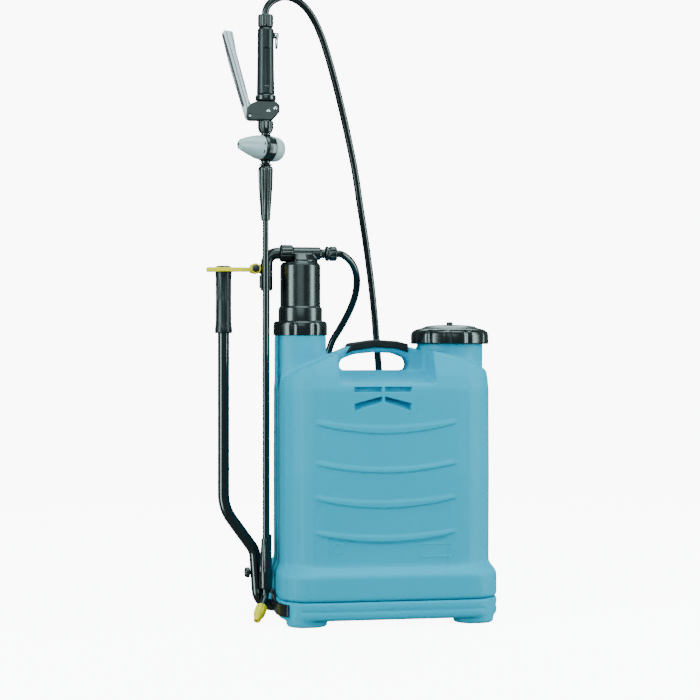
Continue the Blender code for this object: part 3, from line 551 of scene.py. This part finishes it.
# ---------------------------------------------------------------- pump, rod, clip and lever
def make_pump():
    at, boss = (PUMP_X, 0, 0), (0, 0, HEAD_Z)
    lathe("pump_ring_nut", [(31.4, 411), (34.5, 411), (36.8, 408.8), (37.5, 405), (37.5, 391), (35, 391),
                            (35, 403.7), (31.4, 403.7)], "black_plastic", "tank", "pump_nut", at=at,
          segments=168, edge=0.8, flutes=(8, 1.4, 390, 406, 36.4))
    lathe("air_chamber", [(25.5, 490), (27, 490), (28, 487.5), (28, 432), (28.6, 430.5), (30.5, 429.2),
                          (30.5, 400), (22, 396), (22, 200), (19, 200), (19, 398), (25.5, 403)],
          "black_plastic", "pump", "pressure_chamber", at=at, segments=96, edge=0.8)
    soften("pump_head_cap", "pump_head", "black_plastic", "pump", 0.9, 5)
    lathe("rod_nut_grooved", [(6.6, -123.7), (11, -123.7), (12, -125.2), (12, -139.4), (10.8, -141.2),
                              (6.6, -141.2)], "black_plastic", "pump", "rod_boss_nut", at=boss,
          axis=ALONG_X, segments=120, flutes=(12, 0.8, -140, -124.5, 11.5))
    lathe("hose_nut_by_pump", [(4.3, -61.6), (8.6, -61.6), (10.3, -63.2), (10.3, -71), (9.2, -71.8),
                               (9.2, -73), (10.3, -73.8), (10.3, -76.4), (9.4, -77.5), (4.3, -77.5)],
          "black_plastic", "pump", "hose_nut_pump", at=boss, axis=ALONG_X, segments=96, edge=0.4,
          flutes=(8, 1.2, -72, -62.5, 9.9))


def make_rod():
    soften("rod_elbow_arm", "rod_elbow", "black_plastic", "rod", 0.8, 5)
    soften("rod_eye_end", "rod_eye", "black_plastic", "rod", 0.7, 4)
    settle("link_rod_bar", sweep_bm([(ROD_X, 0, 81), (ROD_X, 0, 200), (ROD_X, 0, 484)], 4.4, sides=32),
           "black_painted_steel", "rod", "link_rod")
    lathe("rod_eye_rivet_head", [(0, -153.8), (4.6, -153.8), (6, -154.6), (6, -155.3), (4, -155.3),
                                 (4, -162.3), (0, -162.3)], "bright_steel", "rod", "rod_eye_rivet",
          at=(0, 0, CRANK_Z), axis=ALONG_X, segments=40)
    lathe("clip_pin_slotted", [(0, 6.5), (3.2, 6.5), (3.2, -17.3), (5, -17.3), (5, -18.9), (4.2, -19.5),
                               (0, -19.5)], "black_plastic", "rod", "lever_clip_pin", at=(-177, 0, 483),
          axis=ALONG_Y, segments=40, edge=0.3)
    soften("lever_clip_fork", "lever_clip", "yellow_plastic", "clip", 0.7, 5)


def make_lever():
    path = rounded_path([(-61, 0, AXLE_Z), (-171.3, 0, AXLE_Z), (-176.6, 0, 94), (LEVER_X, 0, 153.5),
                         (LEVER_X, 0, 483)], [22, 26, 60])
    settle("lever_bent_tube", sweep_bm(path, 8.0, 6.3, sides=36), "black_painted_steel", "lever",
           "lever_tube")
    lathe("lever_handle_grip", [(0, 487), (9, 487), (11.2, 485), (11.5, 482), (11.5, 474), (10.9, 471),
                                (10.7, 440), (10.9, 408), (11.3, 404), (12, 401), (12, 395.5), (11.2, 394),
                                (8.3, 394), (8.3, 483.6), (0, 483.6)], "black_rubber", "lever", "lever_grip",
          at=(LEVER_X, 0, 0), segments=96, edge=0.8, flutes=(16, 0.45, 409, 470.5, 10))
    lathe("lever_bolt_knob", [(0, -163), (5.6, -163), (6, -163.4), (6, -165.2), (3, -165.2), (3, -183.5),
                              (7.2, -183.5), (7.2, -188.5), (5.5, -190.5), (0, -190.5)], "black_plastic",
          "lever", "lever_bolt", at=(0, 0, CRANK_Z), axis=ALONG_X, segments=72, edge=0.5,
          flutes=(6, 0.9, -189, -183.6, 6.8))
    lathe("axle_clip_ring", [(8.3, -63.6), (9.9, -63.6), (10.4, -64), (10.4, -65.6), (9.9, -66), (8.3, -66)],
          "bright_steel", "lever", "axle_end_clip", at=(0, 0, AXLE_Z), axis=ALONG_X, segments=48)


# ---------------------------------------------------------------- lance
def make_lance():
    at = (LANCE_X, LANCE_Y, 0)
    lathe("hose_nut_on_grip", [(5.2, 829.6), (9.6, 829.6), (10.7, 828.2), (10.7, 815), (9.9, 812.8),
                               (5.2, 812.8)], "black_plastic", "lance", "hose_nut_lance", at=at,
          segments=96, flutes=(12, 0.8, 813, 827.8, 10.2))
    soften("trigger_grip", "valve_grip", "black_rubber", "lance", 0.8, 5, grip_panel)
    lathe("grip_collar_ring", [(4, 720), (12.4, 720), (14.1, 718.4), (14.1, 713), (12.6, 711.3), (4, 711.3)],
          "black_plastic", "lance", "grip_collar", at=at, segments=72)
    soften("trigger_valve_body", "valve_body", "black_plastic", "lance", 0.6, 22)
    for number, (x, z) in enumerate([(-161.5, 697.5), (-152, 701)], 1):
        lathe(f"valve_body_screw_{number}", [(0, -9.5), (1.4, -9.5), (2.5, -8.7), (2.6, -7.9), (0, -7.9)],
              "bright_steel", "lance", at=(x, LANCE_Y, z), axis=ALONG_Y, segments=32, edge=0.2)
    soften("trigger_lever", "trigger", "silver_plastic", "trigger", 0.5, 3)
    # Rods along the trigger's front. The thick black one is painted shade standing in for the trigger's dark
    # shaded left side. The thin black ones are painted reflection: dark bands between the glints. The silver
    # one keeps the trigger's own finish.
    edges = [((-195.6, 703), (-196.5, 706), (-223.6, 800), 1.6),
             ((-189, 697), (-192.5, 709), (-219, 803), 0.6),
             ((-187, 700), (-190.5, 711), (-216, 803.5), 0.6),
             ((-185, 703), (-188.5, 713), (-213, 804), 0.6)]
    for number, (foot, crook, tip, radius) in enumerate(edges):
        path = [(x, LANCE_Y - 4.2, z) for x, z in (foot, crook, tip)]
        settle(f"trigger_streak_{number + 1}", sweep_bm(path, radius, sides=12),
               "silver_plastic" if number == 2 else "black_plastic", "trigger")
    make_spring()
    lathe("lance_union_nut", [(4.6, 684.1), (9.9, 684.1), (10.7, 683), (10.7, 674.4), (8.6, 668.2),
                              (4.6, 668.2)], "black_plastic", "lance", "lance_nut", at=at,
          segments=96, flutes=(10, 0.9, 673, 683.2, 10))
    soften("regulator_ring", "regulator_body", "black_plastic", "lance", 0.7, 4)
    lathe("regulator_dial", [(0, 45), (4.6, 45), (5.2, 44), (7.6, 42.6), (11, 34), (13.2, 28), (14.8, 22),
                             (16, 16.5), (16.6, 12), (16.8, 9.3), (0, 9.3)], "grey_plastic", "knob",
          "regulator_knob", at=REGULATOR_AT, axis=REGULATOR_AXIS, segments=96, edge=0.9,
          flutes=(3, 1.5, 20, 43, 7))
    axis = Vector(REGULATOR_AXIS).normalized()
    lathe("regulator_dial_hole", [(0, 45.4), (1.8, 45.4), (1.8, 44.6), (0, 44.6)], "black_plastic", "knob",
          at=REGULATOR_AT, axis=axis, segments=24, edge=0.1)
    for number, turn in enumerate((-24, 14)):
        toward_viewer = (Vector((0, -1, 0)) - axis * axis.dot(Vector((0, -1, 0)))).normalized()
        out = Quaternion(axis, math.radians(turn)) @ toward_viewer
        middle = Vector(REGULATOR_AT) + axis * 12.5 + out * 16.2
        reach = out.cross(axis) * 2.2
        dash = sweep_bm([middle - reach, middle, middle + reach], 0.9, sides=10)
        settle(f"regulator_dial_mark_{number + 1}", dash, "black_plastic", "knob")
    lathe("regulator_end_cap", [(0, -6.3), (17.6, -6.3), (17.4, -12), (16.3, -17), (13.8, -21.4),
                                (9, -24.8), (0, -26)], "grey_plastic", "lance", "regulator_cap",
          at=REGULATOR_AT, axis=REGULATOR_AXIS, segments=72, edge=0.8)
    lathe("cone_upper_ribbed", [(4.5, 622.2), (8.6, 622.2), (10.1, 619.6), (10.3, 616), (9.4, 592),
                                (6.3, 549), (5.8, 548), (4.5, 548)], "black_plastic", "lance",
          "lance_cone_upper", at=at, segments=96, edge=0.6, flutes=(8, 1.1, 552, 617, 5))
    lathe("cone_collar", [(4.6, 625.4), (7.6, 625.4), (9.2, 624.6), (9.2, 624), (7.6, 623.2), (4.6, 623)],
          "black_plastic", "lance", at=at, segments=48, edge=0.2)
    tube = [(LANCE_X, LANCE_Y, z) for z in (44, 300, 620)]
    settle("lance_long_tube", sweep_bm(tube, 4.2, 2.6, sides=32), "black_painted_steel", "lance",
           "lance_tube")
    elbow = rounded_path([(LANCE_X, LANCE_Y, 43.6), ELBOW_CORNER, NOZZLE_AT], [12])
    settle("nozzle_bend", sweep_bm(elbow, 4.8, sides=32), "black_plastic", "lance", "lance_elbow")
    lathe("cone_lower_ribbed", [(4.5, 113), (5.6, 113), (6, 111), (8.2, 74), (8.5, 68), (8.4, 46), (7.4, 44),
                                (4.5, 44)], "black_plastic", "lance", "lance_cone_lower", at=at, segments=96,
          edge=0.6, flutes=(8, 0.9, 68, 109, 5.4))
    lathe("nozzle_cap_fluted", [(2.2, 26), (4.4, 26), (5.6, 20.6), (6.3, 17.6), (7.6, 15.2), (8, 12), (8, 3),
                                (7.4, 0.5), (5.2, 0.5), (4.6, 1.2), (4.6, 20), (2.2, 22)], "yellow_plastic",
          "nozzle", "nozzle_cap", at=NOZZLE_AT, axis=NOZZLE_AXIS, segments=96, edge=0.4,
          flutes=(8, 0.9, 2.6, 15, 7.4))
    ring = [(-149.5, LANCE_Y + 9 * math.sin(math.tau * k / 48), 793 + 9 * math.cos(math.tau * k / 48))
            for k in range(47)]
    settle("hanging_wire_loop", sweep_bm(ring, 1.1, sides=12), "bright_steel", "loop", "hanging_loop")


def grip_panel(p):
    """A long shallow recess on the front of the grip."""
    x, y, z = p.x - LANCE_X, p.y - LANCE_Y, p.z
    if y < -6 and 728 < z < 786:
        edge = max(abs(x) - 3.6, abs(z - 757) - 26)
        p.y += 1.0 * (1 - step_up(edge, 0, 1.6))
    return p


def make_spring():
    """A small coil spring behind the valve stem."""
    turns, per_turn, radius, wire = 5, 16, 2.35, 0.4
    low, high = -161.2, -153.8
    count = turns * per_turn
    path = [(low + (high - low) * i / count, LANCE_Y + radius * math.cos(math.tau * i / per_turn),
             STEM_Z + radius * math.sin(math.tau * i / per_turn)) for i in range(count + 1)]
    spring = settle("valve_coil_spring", sweep_bm(path, wire, sides=8), "bright_steel", "lance",
                    "valve_spring")
    held_end = layout_to_frame() @ Vector((high + wire, LANCE_Y, STEM_Z))
    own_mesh(spring)


# ---------------------------------------------------------------- harness
def strap_section(half_width, half_thick, count):
    """Points round a flat lens with thin bound edges: the cross-section of a padded strap."""
    top = []
    for i in range(count + 1):
        share = 2 * i / count - 1
        crown = half_thick * (0.42 + 0.58 * (1 - abs(share) ** 3.2))
        seam = 0.9 * math.exp(-((abs(share) - 0.8) / 0.05) ** 2)
        top.append((share * half_width, crown - seam))
    return top + [(x, -h) for x, h in reversed(top)]


def strap_mesh(route, centre_x, section):
    """Sweep a flat cross-section along a path in the YZ plane."""
    bm = bmesh.new()
    rings = []
    for i, point in enumerate(route):
        along = (route[min(i + 1, len(route) - 1)] - route[max(i - 1, 0)]).normalized()
        normal = Vector((0, -along.z, along.y))
        ends = min(1.0, min(i, len(route) - 1 - i) / 3 * 0.5 + 0.55)
        rings.append([bm.verts.new(point + Vector((centre_x + x, 0, 0)) + normal * h * ends)
                      for x, h in section])
    for a, b in zip(rings, rings[1:]):
        for k in range(len(a)):
            m = (k + 1) % len(a)
            bm.faces.new((a[k], a[m], b[m], b[k]))
    bm.faces.new(rings[0])
    bm.faces.new(rings[-1])
    return bm


def make_harness():
    for side, x in (("left", -STRAP_X), ("right", STRAP_X)):
        pad_route = smooth_route([(0, y, z) for y, z in STRAP_PAD], 3.0)
        pad = settle(f"shoulder_pad_{side}", strap_mesh(pad_route, x, strap_section(20, 3.6, 24)),
                     "strap_padding", "tank", f"strap_pad_{side}", sharp=60)
        web_route = smooth_route([(0, y, z) for y, z in STRAP_WEB], 3.0)
        flat = [(-14, 0.9), (-7, 1.0), (0, 1.0), (7, 1.0), (14, 0.9), (14, -0.9), (0, -1.0), (-14, -0.9)]
        web = settle(f"webbing_{side}", strap_mesh(web_route, x, flat), "strap_webbing", "tank",
                     f"strap_web_{side}", sharp=60)
        bm = bmesh.new()
        for low, high in (((-21, 117, 174), (21, 124, 178)), ((-21, 117, 161), (21, 124, 165)),
                          ((-21, 117, 161), (-16.5, 124, 178)), ((16.5, 117, 161), (21, 124, 178)),
                          ((-21, 118.5, 168), (21, 122.5, 171.4))):
            block(bm, (x + low[0], low[1], low[2]), (x + high[0], high[1], high[2]))
        settle_mesh(f"buckle_{side}", moulded(frame_mesh("buckle_raw", bm), 0.6, 4), "black_plastic",
                    "tank", f"strap_buckle_{side}", sharp=80)
    soften("upper_strap_bar", "strap_anchor_bar", "black_plastic", "tank", 1.0, 4)
    soften("lower_strap_bar", "strap_hook_bar", "black_plastic", "tank", 1.0, 4)


# ---------------------------------------------------------------- everything that keeps its CAD shape
def finish_kept_nodes():
    """Every CAD node that is still shown gets its slot's detailed material."""
    for entry in frame["record"]["subparts"]:
        node = frame["nodes"][entry["node"]]
        if node.hide_render:
            continue
        node.data.materials.clear()
        node.data.materials.append(MATERIALS[entry["material_slot"]])


# ---------------------------------------------------------------- studio
FLOOR_GLOW, AIR_GLOW = 9.0, 0.22
SHEET_HALF, FLOOR_BACK, BEND_RADIUS, WALL_TOP = 12.0, 2.2, 1.5, 6.0
COOL_LIGHT = (0.72, 1.0, 0.98)


def make_studio():
    """A pale sweep of floor and wall that glows white, and large soft lights."""
    bm = bmesh.new()
    bend = [math.radians(degrees) for degrees in range(10, 91, 10)]
    profile = [(-SHEET_HALF, 0.0), (FLOOR_BACK, 0.0)]
    profile += [(FLOOR_BACK + BEND_RADIUS * math.sin(a), BEND_RADIUS * (1 - math.cos(a))) for a in bend]
    profile += [(FLOOR_BACK + BEND_RADIUS, WALL_TOP)]
    rows = [[bm.verts.new((x, y, z)) for x in (-SHEET_HALF, SHEET_HALF)] for y, z in profile]
    for a, b in zip(rows, rows[1:]):
        bm.faces.new((a[0], a[1], b[1], b[0]))
    mesh = bpy.data.meshes.new("floor")
    bm.to_mesh(mesh)
    bm.free()
    mesh.shade_smooth()
    floor = bpy.data.objects.new("floor", mesh)
    floor.location.z = -0.0005
    floor.visible_diffuse = False
    floor.visible_glossy = False
    bpy.context.scene.collection.objects.link(floor)
    pale = bpy.data.materials.new("pale_floor")
    pale.use_nodes = True
    shader = pale.node_tree.nodes["Principled BSDF"]
    shader.inputs["Base Color"].default_value = (0.9, 0.9, 0.9, 1)
    shader.inputs["Roughness"].default_value = 0.9
    shader.inputs["Specular IOR Level"].default_value = 0.0
    shader.inputs["Emission Color"].default_value = (1, 1, 1, 1)
    shader.inputs["Emission Strength"].default_value = FLOOR_GLOW
    mesh.materials.append(pale)

    world = bpy.data.worlds.new("studio")
    world.use_nodes = True
    world.node_tree.nodes["Background"].inputs["Color"].default_value = (0.72, 1, 1, 1)
    world.node_tree.nodes["Background"].inputs["Strength"].default_value = AIR_GLOW
    bpy.context.scene.world = world
    for name, place, aim, width, height, power in (
            ("left_box", (-1.9, -0.93, 0.5), (-0.1, 0, 0.45), 0.8, 2.4, 62),
            ("right_box", (1.8, -0.88, 0.5), (-0.1, 0, 0.45), 0.8, 2.4, 62),
            ("top_box", (0.1, -0.7, 2.4), (0, 0, 0.3), 1.8, 1.4, 44),
            ("back_box", (0.5, 1.9, 2.3), (0, 0, 0.4), 1.6, 0.8, 26),
            ("front_fill", (-0.5, -3.6, 1.6), (0, 0, 0.4), 2.4, 1.6, 26)):
        light = bpy.data.objects.new(name, bpy.data.lights.new(name, "AREA"))
        light.data.shape = "RECTANGLE"
        light.data.size, light.data.size_y, light.data.energy = width, height, power
        light.data.color = COOL_LIGHT
        light.location = place
        light.rotation_euler = (Vector(aim) - Vector(place)).to_track_quat("-Z", "Y").to_euler()
        bpy.context.scene.collection.objects.link(light)


MATERIALS = make_materials()
make_camera()
make_hoses()
make_tank()
make_filler()
make_pump()
make_rod()
make_lever()
make_lance()
make_harness()
finish_kept_nodes()
make_studio()
